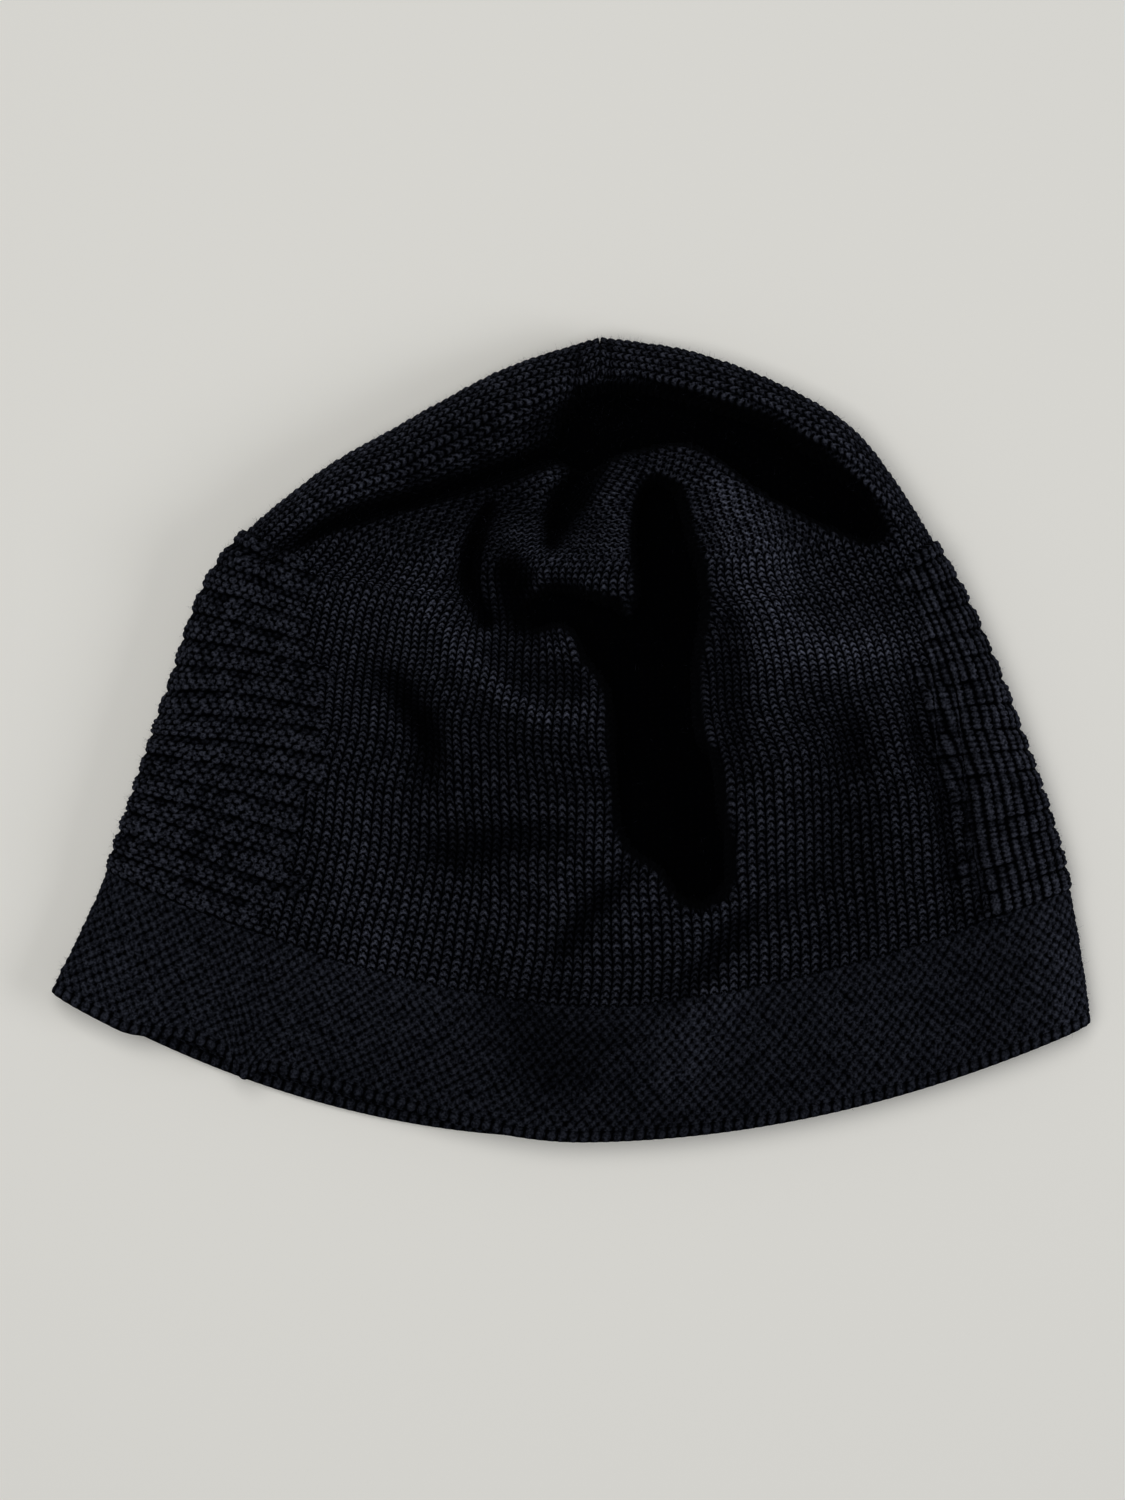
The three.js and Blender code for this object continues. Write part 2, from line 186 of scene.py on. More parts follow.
# Painted light strokes, placed and adjusted to suit one view: points (x, y, half-width, share of light).
# They don't follow from the shape. The first table paints shade, taking light away; the second paints light.
PAINTED_SHADE_STROKES = [
    [(-62, 48, 7, 0.2), (-36, 56, 8, 0.45), (-14, 62, 9, 0.7)],
    [(-40, 70, 6, 0.3), (-20, 79, 7, 0.4)],
    [(6, 68, 6, 0.3), (24, 73, 6, 0.3), (38, 73, 5, 0.4), (48, 66, 5, 0.3)],
    [(2, -58, 12, 0.2), (-2, -68, 14, 0.25), (18, -60, 12, 0.1)],
    [(102, -56, 12, 0.15), (105, -68, 12, 0.1)],
    [(-30, 38, 5, 0.3), (-27, 26, 5, 0.15)],
    [(4, 60, 6, 0.3), (2, 50, 6, 0.2)],
    [(-47, -2, 7, 0.2), (-44, -12, 7, 0.1)],
    [(-34, -22, 12, 0.15), (-14, -34, 12, 0.15)],
    [(-40, -92, 16, 0.1), (20, -98, 14, 0.15), (60, -84, 12, 0.1)],
    [(-34, -8, 20, 0.2), (-10, -10, 22, 0.25), (4, -20, 12, 0.15)],
    [(66, 5, 13, 0.2), (70, -20, 18, 0.3), (72, -46, 15, 0.15)],
    [(40, 30, 5, 0.2), (41, 10, 7, 0.4), (45, -10, 5, 0.1)],
    [(96, -2, 8, 0.2), (104, -38, 9, 0.2)],
    [(-15, -72, 12, 0.15), (-4, -84, 13, 0.3), (6, -80, 10, 0.2)],
]
PAINTED_LIGHT_STROKES = [
    [(25, 71, 4, 0.5), (36, 65, 6, 0.2), (45, 52, 9, 1.4), (50, 35, 9, 1.4), (50, 20, 8, 0.5),
     (50, 6, 6, 0.1)],
    [(64, 44, 13, 0.3), (70, 30, 13, 0.3)],
    [(56, -4, 9, 0.1), (54, -20, 9, 0.2)],
    [(-54, -18, 14, 0.2), (-50, -54, 16, 0.3)],
    [(56, 23, 8, 0.35), (84, 21, 8, 0.4), (97, 32, 8, 0.15)],
    [(-60, 38, 14, 0.35), (-44, 38, 12, 0.45), (-24, 16, 7, 0.15), (-4, 5, 5, 0.3)],
    [(-130, -63, 9, 0.35), (-110, -64, 18, 0.15)],
    [(-92, 38, 10, 0.15), (-106, 4, 10, 0.2), (-120, -34, 10, 0.15)],
    [(-72, 62, 8, 0.4), (-52, 74, 8, 0.45), (-26, 90, 8, 0.4), (10, 100, 8, 0.2), (44, 92, 8, 0.15),
     (72, 74, 8, 0.4), (92, 48, 7, 0.1)],
    [(36, -68, 10, 0.1), (30, -86, 12, 0.15)],
    [(126, -46, 8, 0.4), (131, -70, 8, 0.7)],
    [(107, 18, 6, 0.1), (113, 2, 6, 0.2), (122, -30, 7, 0.15)],
]


# ---------------------------------------------------------------- small helpers
def smooth(a, b, x):
    u = np.clip((x - a) / (b - a), 0, 1)
    return u * u * (3 - 2 * u)


def mix(a, b, w):
    return a + (b - a) * w


def spline(points, n=40):
    """A uniform Catmull-Rom curve through the points, n steps to a stretch."""
    p = np.array(points, float)
    q = np.vstack([p[:1], p, p[-1:]])
    u = np.linspace(0, 1, n, endpoint=False)[:, None]
    out = []
    for k in range(len(p) - 1):
        p0, p1, p2, p3 = q[k:k + 4]
        v0, v1 = (p2 - p0) / 2, (p3 - p1) / 2
        cubic = (2 * p1 - 2 * p2 + v0 + v1) * u ** 3
        square = (-3 * p1 + 3 * p2 - 2 * v0 - v1) * u ** 2
        out.append(cubic + square + v0 * u + p1)
    return np.vstack(out + [p[-1:]])


def by_length(curve):
    """Sampled curve and its running length from 0 to 1."""
    step = np.linalg.norm(np.diff(curve, axis=0), axis=1)
    run = np.concatenate([[0], np.cumsum(step)])
    return curve, run / run[-1]


LEFT = by_length(spline(LEFT_OUTLINE))
RIGHT = by_length(spline(RIGHT_OUTLINE))


def at(curve, f):
    points, run = curve
    return np.interp(f, run, points[:, 0]), np.interp(f, run, points[:, 1])


def centre_row(t):
    """Smooth height of a row's middle, by cubic pieces through CENTRE_ROWS."""
    rows = np.array(CENTRE_ROWS, float)
    slope = np.gradient(rows[:, 1]) / np.gradient(rows[:, 0])
    k = np.clip(np.searchsorted(rows[:, 0], t), 1, len(rows) - 1)
    h = rows[k, 0] - rows[k - 1, 0]
    u = (t - rows[k - 1, 0]) / h
    return ((2 * u ** 3 - 3 * u ** 2 + 1) * rows[k - 1, 1] + (u ** 3 - 2 * u ** 2 + u) * h * slope[k - 1]
            + (3 * u ** 2 - 2 * u ** 3) * rows[k, 1] + (u ** 3 - u ** 2) * h * slope[k])


NOISE_CELLS, NOISE_START = 64, (31.7, 17.3)


def noise(x, y, size, seed):
    """Smooth value noise, -1 to 1, with bumps about size across."""
    cells = NOISE_CELLS
    table = np.random.default_rng(seed).uniform(-1, 1, (cells, cells))
    gx, gy = x / size + NOISE_START[0], y / size + NOISE_START[1]
    ix, iy = np.floor(gx).astype(int), np.floor(gy).astype(int)
    fx, fy = gx - ix, gy - iy
    fx, fy = fx * fx * (3 - 2 * fx), fy * fy * (3 - 2 * fy)
    a, b = table[iy % cells, ix % cells], table[iy % cells, (ix + 1) % cells]
    c, d = table[(iy + 1) % cells, ix % cells], table[(iy + 1) % cells, (ix + 1) % cells]
    return mix(mix(a, b, fx), mix(c, d, fx), fy)


def scatter(i, j, stride, seed, start=(0, 0)):
    """A number from -1 to 1 for each whole i and j, unlike its neighbours' ones."""
    return noise(i * stride[0] + start[0], j * stride[1] + start[1], 1, seed)


def nearest(x, y, line):
    """Distance to a line of points."""
    best = np.full(x.shape, np.inf)
    for a, b in zip(line, line[1:]):
        d = b - a
        u = np.clip(((x - a[0]) * d[0] + (y - a[1]) * d[1]) / (d @ d), 0, 1)
        best = np.minimum(best, np.hypot(x - a[0] - u * d[0], y - a[1] - u * d[1]))
    return best


LINE_STEPS, RIM_STEPS = 5, 4     # sampled points to a stretch of a crease and of a rim
BELL_SHARPNESS = 1.1


def soft_line(x, y, points):
    """A bell across a line of points (x, y, half-width, height)."""
    line = spline(points, LINE_STEPS)
    best = np.zeros(x.shape)
    for a, b in zip(line, line[1:]):
        d = (b - a)[:2]
        u = np.clip(((x - a[0]) * d[0] + (y - a[1]) * d[1]) / (d @ d), 0, 1)
        r = np.hypot(x - a[0] - u * d[0], y - a[1] - u * d[1]) / mix(a[2], b[2], u)
        best = np.maximum(best, mix(a[3], b[3], u) * np.exp(-BELL_SHARPNESS * r * r))
    return best


def within(x, y, ring):
    """Which places lie inside a closed ring of points, by counting crossings."""
    odd = np.zeros(x.shape, bool)
    for (ax, ay), (bx, by) in zip(ring, np.roll(ring, -1, 0)):
        if ay != by:
            odd ^= ((ay > y) != (by > y)) & (x < (bx - ax) * (y - ay) / (by - ay) + ax)
    return odd


def hollow(x, y, rim, lip=FOLD_LIP, wall=FOLD_WALL):
    """1 on the floor of a deep fold, 0 outside its rim."""
    ring = spline(rim + rim[:1], RIM_STEPS)
    away = nearest(x, y, ring) * np.where(within(x, y, ring), -1, 1)
    return 1 - smooth(-wall, lip, away)


# ---------------------------------------------------------------- the flattened tube in plan
def half_width(t):
    lx, ly = at(LEFT, t)
    rx, ry = at(RIGHT, t)
    return np.hypot(rx - lx, ry - ly) / 2


def plan(s, t, front):
    """Place of a point in plan: s runs from -1 at the left fold to 1 at the right one, t from mouth to
    tip."""
    lx, ly = at(LEFT, t)
    rx, ry = at(RIGHT, t)
    middle = centre_row(t)
    edge = np.where(s < 0, ly, ry)
    marks, powers, levels = np.array(ROW_BEND).T
    power, level = np.interp(t, marks, powers), np.interp(t, marks, levels)
    x = mix(lx, rx, (s + 1) / 2)
    y = middle + (edge - middle) * np.abs(s) ** power * (1 + level * (1 - np.abs(s)))
    if front:
        notch = HEM_NOTCH_SHARE * np.exp(-((x - HEM_NOTCH_X) / HEM_NOTCH_WIDTH) ** 2)
        lift = smooth(*HEM_LIFT_START, x) * (1 - smooth(*HEM_LIFT_END, x)) * (1 - notch)
        y = y + HEM_LIFT * lift * (1 - smooth(0, T_HEM, t))
    return x, y


MOUTH_POINTS, OUTLINE_STEP = 41, 4


def mouth_line():
    s = np.linspace(-1, 1, MOUTH_POINTS)
    return np.stack(plan(s, np.zeros_like(s), False), -1)


# Up the left side and down the right one; the tip they share is taken once
OUTLINE = np.vstack([LEFT[0][::OUTLINE_STEP], RIGHT[0][-1 - OUTLINE_STEP::-OUTLINE_STEP]])


# ---------------------------------------------------------------- height of the front layer, and its painted light
def front_height(x, y, deep):
    """Height of the front layer's outer face, with or without its two deep folds."""
    bell_x = np.exp(-((x - FIELD_CENTRE[0]) / FIELD_SPREAD[0]) ** 2)
    bell_y = np.exp(-((y - FIELD_CENTRE[1]) / FIELD_SPREAD[1]) ** 2)
    bell = bell_x * bell_y
    field = mix(SIDE_HEIGHT, FIELD_HEIGHT, bell)
    d = nearest(x, y, OUTLINE)
    roll = mix(ROLL_HEIGHT, field, smooth(ROLL_REACH, ROLL_FOOT, d))
    h = mix(field, roll, smooth(*ROLL_RANGE, y))
    for line in RIDGES:
        h += soft_line(x, y, line)
    for line in CREASES:
        h -= soft_line(x, y, line)
    if deep:
        h -= VALLEY_DEPTH * (1 - VALLEY_RISE * smooth(*VALLEY_SHALLOWS, x)) * hollow(x, y, VALLEY_RIM)
        h -= PIT_DEPTH * hollow(x, y, PIT_RIM)
    h += sum(rise * noise(x, y, size, seed) for rise, size, seed in UNEVENNESS)
    above = h - LEAST_HEIGHT
    return LEAST_HEIGHT + np.maximum(above, 0) ** 2 / (np.abs(above) + REST_SOFTNESS)


FIELD_REACH, FIELD_STEP = (150, 120), 0.5
RIDGE_REACHES = (8, 12)                  # how far round a place its height is compared with
RIDGE_LIMIT = 6.0
RIM_RANGE = (6, 22)                      # how far in from the outline that comparison fades in
SKY_BEARINGS = 12
SKY_REACHES = (1.5, 3, 5, 8, 12, 18, 26)
SKY_RANGE = (0.62, 0.93)                 # share of open sky that gives no light and full light
PANEL_LIGHT_LEFT, PANEL_LIGHT_RIGHT = 0.88, 0.98   # share of the painted light kept on the left and the right side panels
LIGHT_LEVEL, LIGHT_PER_MM = 0.50, 0.06   # painted light on level fabric, and painted highlight added for each mm it stands proud
LEAST_LIGHT = 0.01
LEAST_COUNT = 0.01                       # keeps the average defined where no fabric is near
FIELD_X = np.arange(-FIELD_REACH[0], FIELD_REACH[0], FIELD_STEP)
FIELD_Y = np.arange(-FIELD_REACH[1], FIELD_REACH[1], FIELD_STEP)


def field_tables():
    """The front layer's height with and without its deep folds, and the light painted on it: painted shade
    in the folds, painted highlight on the ridges, and the painted shade and painted light strokes."""
    x, y = np.meshgrid(FIELD_X, FIELD_Y)
    height, shallow = front_height(x, y, True), front_height(x, y, False)
    here = within(x, y, np.vstack([OUTLINE, mouth_line()[::-1]]))
    ground = np.where(here, height, 0)
    sky, total, count = np.zeros(x.shape), np.zeros(x.shape), np.full(x.shape, LEAST_COUNT)
    for bearing in np.arange(SKY_BEARINGS) * math.tau / SKY_BEARINGS:
        heading = math.sin(bearing), math.cos(bearing)
        rise = np.zeros(x.shape)
        for reach in SKY_REACHES:
            step = [-int(round(reach * part / FIELD_STEP)) for part in heading]
            rise = np.maximum(rise, (np.roll(ground, step, (0, 1)) - height) / reach)
            if reach in RIDGE_REACHES:
                total += np.roll(here * shallow, step, (0, 1))
                count += np.roll(here, step, (0, 1))
        sky += 1 / (1 + rise ** 2)
    inland = smooth(*RIM_RANGE, nearest(x, y, OUTLINE))
    proud = np.clip((shallow - total / count) * inland, -RIDGE_LIMIT, RIDGE_LIMIT)
    light = smooth(*SKY_RANGE, sky / SKY_BEARINGS) * (LIGHT_LEVEL + LIGHT_PER_MM * proud)
    # Painted shade in the two deep folds, then the painted light and painted shade strokes
    for rim in (PIT_RIM, VALLEY_RIM):
        light *= 1 - hollow(x, y, rim, SHADE_LIP, SHADE_WALL)
    for line in PAINTED_LIGHT_STROKES:
        light *= 1 + soft_line(x, y, line)
    for line in PAINTED_SHADE_STROKES:
        light *= 1 - soft_line(x, y, line)
    return height, shallow, np.clip(light, LEAST_LIGHT, 1)


HEIGHT, SHALLOW, LIGHT = field_tables()


def sample(table, x, y):
    gx = np.clip((x - FIELD_X[0]) / FIELD_STEP, 0, len(FIELD_X) - 2)
    gy = np.clip((y - FIELD_Y[0]) / FIELD_STEP, 0, len(FIELD_Y) - 2)
    ix, iy = gx.astype(int), gy.astype(int)
    fx, fy = gx - ix, gy - iy
    low = mix(table[iy, ix], table[iy, ix + 1], fx)
    high = mix(table[iy + 1, ix], table[iy + 1, ix + 1], fx)
    return mix(low, high, fy)


def surface(front, a, t, table):
    """Outer face. a runs from -1 to 1 across one layer, in proportion to the length of fabric."""
    half = half_width(t)
    radius = np.minimum(FOLD_RADIUS, WIDEST_FOLD * half)
    arc = FOLD_ARC * radius / FOLD_RADIUS
    flat_a = (half - radius) / (half - radius + arc)
    flat_s = 1 - radius / half
    turn = np.clip((np.abs(a) - flat_a) / (1 - flat_a), 0, 1) * (math.pi / 2)
    s = np.where(turn > 0, np.sign(a) * (flat_s + (1 - flat_s) * np.sin(turn)), a / flat_a * flat_s)
    x, y = plan(s, t, front)
    if front:
        height = mix(MOUTH_HEIGHT, sample(table, x, y), smooth(*MOUTH_RANGE, t))
    else:
        height = np.full(x.shape, REST_HEIGHT)
    z = mix(FOLD_HEIGHT, height, np.cos(turn))
    return np.stack([x, y, z], -1)


DENSE_COLUMNS, DENSE_ROWS = 481, 420     # samples of the fabric when its length is measured
COLUMN_SOFTENING = 12
SOFT_WALES, SOFT_ROWS = 2, 5             # reach of the smoothing of the rows, across and along
# How far stitches stray out of line: share of a stitch, size of the noise's bumps, seed
WANDER_ALONG, WANDER_ACROSS = (0.22, 13, 7), (0.16, 11, 8)
WANDER_FADE = 0.3


def running_length(p, axis):
    step = np.linalg.norm(np.diff(p, axis=axis), axis=2)
    zero = np.zeros_like(np.take(step, [0], axis))
    return np.concatenate([zero, np.cumsum(step, axis)], axis)


def softened(table, reach):
    """The table averaged along its first axis with a bell of the given reach; its end rows stay."""
    kernel = np.exp(-np.linspace(-2, 2, 2 * reach + 1) ** 2)
    kernel /= kernel.sum()
    padded = np.pad(table, ((reach, reach), (0, 0)), mode="reflect", reflect_type="odd")
    return sum(w * padded[k:k + len(table)] for k, w in enumerate(kernel))


def even_columns(front, t, count):
    """Places across the layer at equal lengths of fabric, for each row t, and the rows' lengths."""
    dense = np.linspace(-1, 1, DENSE_COLUMNS)
    a, tt = np.meshgrid(dense, t)
    run = running_length(surface(front, a, tt, SHALLOW), 1)
    share = softened(run / run[:, -1:], COLUMN_SOFTENING)
    wanted = np.linspace(0, 1, count)
    even = np.stack([np.interp(wanted, share[j], dense) for j in range(len(t))])
    return even, run[:, -1]


def even_grid(front, columns, rows):
    """Grid of (a, t) whose columns and rows both keep even lengths of fabric, and each row's length. The
    fabric drawn down into the two deep folds isn't counted: the stitches there are pulled long."""
    t = np.linspace(0, T_LAST, DENSE_ROWS)
    a, length = even_columns(front, t, columns)
    run = running_length(surface(front, a, np.repeat(t[:, None], columns, 1), SHALLOW), 0)
    v = np.linspace(0, ROWS, rows)
    marks_v = [0, HEM_STITCH_ROWS, MIDDLE_ROW, CROWN_ROW, ROWS]
    marks_t = [0, T_HEM, T_MIDDLE, T_CROWN, T_LAST]
    new_t = np.empty((rows, columns))
    for i in range(columns):
        marks_run = np.interp(marks_t, t, run[:, i])
        new_t[:, i] = np.interp(np.interp(v, marks_v, marks_run), run[:, i], t)
    new_t = softened(new_t.T, SOFT_WALES * FRONT_CELLS).T
    new_t = softened(new_t, SOFT_ROWS * ROW_CELLS)
    new_a = np.stack([np.interp(new_t[:, i], t, a[:, i]) for i in range(columns)], 1)
    place = surface(front, new_a, new_t, SHALLOW)
    x, y = place[..., 0], place[..., 1]
    inner = np.sin(math.pi * v / ROWS)[:, None] ** WANDER_FADE
    cells = columns // WALES
    size, bumps, seed = WANDER_ALONG
    new_t += size * inner * noise(x, y, bumps, seed) * np.gradient(new_t, axis=0) * ROW_CELLS
    ends = np.cos(np.linspace(-1, 1, columns) * math.pi / 2)[None, :] ** WANDER_FADE
    size, bumps, seed = WANDER_ACROSS
    new_a += size * ends * noise(x, y, bumps, seed) * np.gradient(new_a, axis=1) * cells
    return new_a, new_t, np.interp(new_t.mean(1), t, length)


# ---------------------------------------------------------------- stitches: height over the fabric, mm
def lobe(d):
    return np.sqrt(np.clip(1 - d * d, 0, 1))


def near_zero(x):
    """Signed distance to the nearest whole number."""
    return x - np.floor(x + 0.5)


def stockinette(u, v):
    """Columns of nested arches, each falling away on both sides of its top."""
    across = near_zero(u - 0.5)
    drop = ARCH_DROP * np.sqrt(4 * across ** 2 + ARCH_ROUNDING)
    h = np.zeros(u.shape)
    for top in ARCH_TOPS:
        h = np.maximum(h, lobe((v - np.floor(v) - top + drop) / ARCH_HALF))
    return ARCH_RELIEF * h * lobe(across / COLUMN_HALF)


def seed_stitch(u, v):
    """A centred lattice of round purl bumps, two rows to a cell."""
    h = np.zeros(u.shape)
    for offset in (0, 0.5):
        du, dv = near_zero(u - offset), near_zero(v / 2 - offset)
        row, column = np.floor(u - offset + 0.5), np.floor(v / 2 - offset + 0.5)
        du = du + BUMP_SHIFT[0] * scatter(row, column, FAR_A, BUMP_SEEDS[0], (offset, 0))
        dv = dv + BUMP_SHIFT[1] * scatter(row, column, FAR_B, BUMP_SEEDS[1], (offset, 0))
        h = np.maximum(h, lobe(np.hypot(du / BUMP_ACROSS, dv / BUMP_ALONG)))
    return BUMP_RELIEF * h


def ridges(u, v):
    """Waffle of short bars, in the lines of BARS. The right panel also has upright furrows, two wales
    apart."""
    h = np.zeros(u.shape)
    right = u > MID_WALE
    for across, along, size_left, size_right in BARS:
        cell = np.floor(v / RIDGE_ROWS - along + 0.5)
        shift = BAR_SHIFT * scatter(cell, cell, FAR_C, SHIFT_SEED, (along, 0))
        wave = np.where(right, u + 0.5 + RIGHT_SHARE * shift, u - across + shift)
        bar_number = np.floor(wave + 0.5)
        bow = scatter(bar_number, cell, FAR_A, BOW_SEED, (0, along))
        lift = 1 + BAR_UNEVENNESS * scatter(bar_number, cell, FAR_B, UNEVEN_SEED, (along, 0))
        along_bar = near_zero(wave) / BAR_HALF
        across_bar = (near_zero(v / RIDGE_ROWS - along) + BAR_BOW * bow) / BAR_THICKNESS
        size = np.where(right, size_right, size_left)
        h = np.maximum(h, size * lift * lobe(np.hypot(along_bar, across_bar)))
    upright = np.where(right, 1 - FURROW_DEPTH * np.exp(-(near_zero(u / 2) / FURROW_HALF) ** 2), 1)
    return BAR_RELIEF * h * upright + BAR_BASE


def swell(u, v, front):
    """The slow rise of the fabric between the level furrows of the side panels, which scallops the side
    folds. The back layer lies flat, so there it ends a few wales in from the fold."""
    rise = RIDGE_SWELL * lobe(near_zero(v / RIDGE_ROWS - SWELL_MIDDLE) / SWELL_HALF)
    if not front:
        rise = rise * (1 - smooth(*SWELL_ENDS, np.minimum(u, WALES - u)))
    return np.where(in_panel(u, v, front), rise, 0)


def chain_edge(u, v):
    """The cast-on row: one upright oval to each stitch."""
    return CHAIN_RELIEF * lobe(np.hypot(near_zero(u) / CHAIN_ACROSS, (v - CHAIN_MIDDLE) / CHAIN_ALONG))


def in_panel(u, v, front):
    """Where the textured side panels are: they step in and out over whole stitches and narrow towards the
    crown."""
    rise = np.clip((v - HEM_STITCH_ROWS) / PANEL_ROWS, 0, 1)
    steps = noise(np.floor(v / STEP_ROWS) * FAR_B[1], np.zeros(v.shape), 1, STEP_SEED)
    step = np.round(PANEL_STEP * steps)
    left = np.interp(rise, PANEL_MARKS, PANEL_LEFT[front]) + step
    right = np.interp(rise, PANEL_MARKS, PANEL_RIGHT[front]) + step
    return ((u < left) | (u > WALES - right)) & (v >= HEM_STITCH_ROWS) & (rise < 1)


def stitch_height(u, v, front):
    body = np.where(in_panel(u, v, front), ridges(u, v), stockinette(u, v))
    return np.where(v < EDGE_ROWS, chain_edge(u, v), np.where(v < HEM_STITCH_ROWS, seed_stitch(u, v), body))


def inner_height(u, v):
    """The inside of the fabric: bumps all over, the same lattice as the hem."""
    return np.where(v < EDGE_ROWS, chain_edge(u, v), INNER_RELIEF * seed_stitch(u + 0.5, v))


# ---------------------------------------------------------------- the knitted surface as a grid
def knit_grid(front, cells):
    """Points, outward directions, knit coordinates, stitch relief and painted light of one layer's outer
    face.
    """
    columns, rows = WALES * cells + 1, ROWS * ROW_CELLS + 1
    a, t, length = even_grid(front, columns, rows)
    p = surface(front, a, t, HEIGHT)
    n = np.cross(np.gradient(p, axis=1), np.gradient(p, axis=0))
    n /= np.linalg.norm(n, axis=2, keepdims=True) + 1e-9
    if not front:
        n = -n
    v = np.repeat(np.linspace(0, ROWS, rows)[:, None], columns, 1)
    crown = v[:, :1] > CROWN_ROW
    share = np.linspace(0, 1, columns)[None, :]
    decreased = smooth(T_CROWN, T_CROWN + DECREASE_LENGTH, t.mean(1))
    pitch = mix(length / WALES, np.maximum(CROWN_PITCH, length / WALES), decreased)
    count = np.where(crown, (length / pitch)[:, None], WALES)
    u = np.where(share < 0.5, share * count, WALES - (1 - share) * count)
    h = stitch_height(u, v, front)
    p = p + n * swell(u, v, front)[..., None]
    loose = np.random.default_rng(LOOSE_SEED).uniform(*LOOSENESS, (ROWS + 2, WALES + 2))
    h = h * loose[np.clip(np.floor(v).astype(int), 0, ROWS), np.clip(np.floor(u).astype(int), 0, WALES)]
    light = sample(LIGHT, p[..., 0], p[..., 1]) if front else np.full(u.shape, LIGHT_LEVEL)
    panel_light = np.where(u < MID_WALE, PANEL_LIGHT_LEFT, PANEL_LIGHT_RIGHT)
    light = light * np.where(in_panel(u, v, front), panel_light, 1)
    return p, n, u, v, h, light


def to_frame(p):
    return (p + np.array([0, SHIFT_Y, 0])) * MM


def mesh_object(name, points, loops, starts, uv, stitch_relief, shade, sharp_ring):
    mesh = bpy.data.meshes.new(name)
    mesh.vertices.add(len(points))
    mesh.vertices.foreach_set("co", points.astype(np.float32).ravel())
    mesh.loops.add(len(loops))
    mesh.loops.foreach_set("vertex_index", loops.astype(np.int32))
    mesh.polygons.add(len(starts))
    mesh.polygons.foreach_set("loop_start", starts.astype(np.int32))
    mesh.update(calc_edges=True)
    layer = mesh.uv_layers.new(name="Knit")
    layer.data.foreach_set("uv", uv[loops].astype(np.float32).ravel())
    for key, values in (("relief", stitch_relief), ("shade", shade)):
        mesh.attributes.new(key, "FLOAT", "POINT").data.foreach_set("value", values.astype(np.float32))
    mesh.polygons.foreach_set("use_smooth", np.ones(len(starts), bool))
    edges = np.zeros(len(mesh.edges) * 2, np.int32)
    mesh.edges.foreach_get("vertices", edges)
    sharp = sharp_ring[edges.reshape(-1, 2)].all(1)
    mesh.attributes.new("sharp_edge", "BOOLEAN", "EDGE").data.foreach_set("value", sharp)
    obj = bpy.data.objects.new(name, mesh)
    bpy.context.collection.objects.link(obj)
    return obj


def shell(name, p, n, u, v, h, light, inner_step):
    """One closed shell: the stitched outer face, the bumpy inner face and the rim between them.
    inner_step is how many fine cells one inner cell spans, across and along."""
    rows, cols = h.shape
    si, sj = inner_step
    outer = p + n * h[..., None]
    jj, ii = np.arange(0, rows, sj), np.arange(0, cols, si)
    pick = np.ix_(jj, ii)
    bump = inner_height(u[pick], v[pick])
    inner = p[pick] - n[pick] * (WALL - INNER_BASE + bump[..., None])
    points = np.vstack([outer.reshape(-1, 3), inner.reshape(-1, 3)])
    base = rows * cols
    r2, c2 = len(jj), len(ii)
    o = np.arange(base).reshape(rows, cols)
    q = base + np.arange(r2 * c2).reshape(r2, c2)
    quads_o = np.stack([o[:-1, :-1], o[:-1, 1:], o[1:, 1:], o[1:, :-1]], -1).reshape(-1, 4)
    quads_i = np.stack([q[:-1, :-1], q[1:, :-1], q[1:, 1:], q[:-1, 1:]], -1).reshape(-1, 4)
    rims = []
    for k in range(c2 - 1):
        rims.append(list(o[0, k * si:(k + 1) * si + 1][::-1]) + [q[0, k], q[0, k + 1]])
        rims.append(list(o[-1, k * si:(k + 1) * si + 1]) + [q[-1, k + 1], q[-1, k]])
    for k in range(r2 - 1):
        rims.append(list(o[k * sj:(k + 1) * sj + 1, 0]) + [q[k + 1, 0], q[k, 0]])
        rims.append(list(o[k * sj:(k + 1) * sj + 1, -1][::-1]) + [q[k, -1], q[k + 1, -1]])
    loops = np.concatenate([quads_o.ravel(), quads_i.ravel(), np.concatenate([np.array(r) for r in rims])])
    totals = np.concatenate([np.full(len(quads_o) + len(quads_i), 4), [len(r) for r in rims]])
    starts = np.concatenate([[0], np.cumsum(totals)[:-1]])
    knit = np.stack([u, v], -1)
    uv = np.vstack([knit.reshape(-1, 2), knit[pick].reshape(-1, 2)])
    stitch_relief = np.concatenate([h.ravel(), bump.ravel()])
    shade = np.concatenate([light.ravel(), np.full(r2 * c2, LIGHT_LEVEL)])
    ring = np.zeros(len(points), bool)
    for line in (o[0], o[-1], o[:, 0], o[:, -1], q[0], q[-1], q[:, 0], q[:, -1]):
        ring[line] = True
    return mesh_object(name, to_frame(points), loops, starts, uv, stitch_relief, shade, ring)


def cut(grid, i0, i1, j0, j1):
    return [g[j0:j1 + 1, i0:i1 + 1] for g in grid]


def flip(grid):
    """The back layer runs the other way round, so that its faces also point out."""
    return [g[:, ::-1] for g in grid]


# ---------------------------------------------------------------- wool
def map_range(tree, source, low, high, out_low=0.0, out_high=1.0):
    node = tree.nodes.new("ShaderNodeMapRange")
    node.interpolation_type = "SMOOTHSTEP"
    node.inputs["From Min"].default_value = low
    node.inputs["From Max"].default_value = high
    node.inputs["To Min"].default_value = out_low
    node.inputs["To Max"].default_value = out_high
    tree.links.new(source, node.inputs["Value"])
    return node.outputs["Result"]


def product(tree, a, b):
    node = tree.nodes.new("ShaderNodeMath")
    node.operation = "MULTIPLY"
    tree.links.new(a, node.inputs[0])
    tree.links.new(b, node.inputs[1])
    return node.outputs[0]


def attribute(tree, name):
    node = tree.nodes.new("ShaderNodeAttribute")
    node.attribute_name = name
    return node.outputs["Fac"]


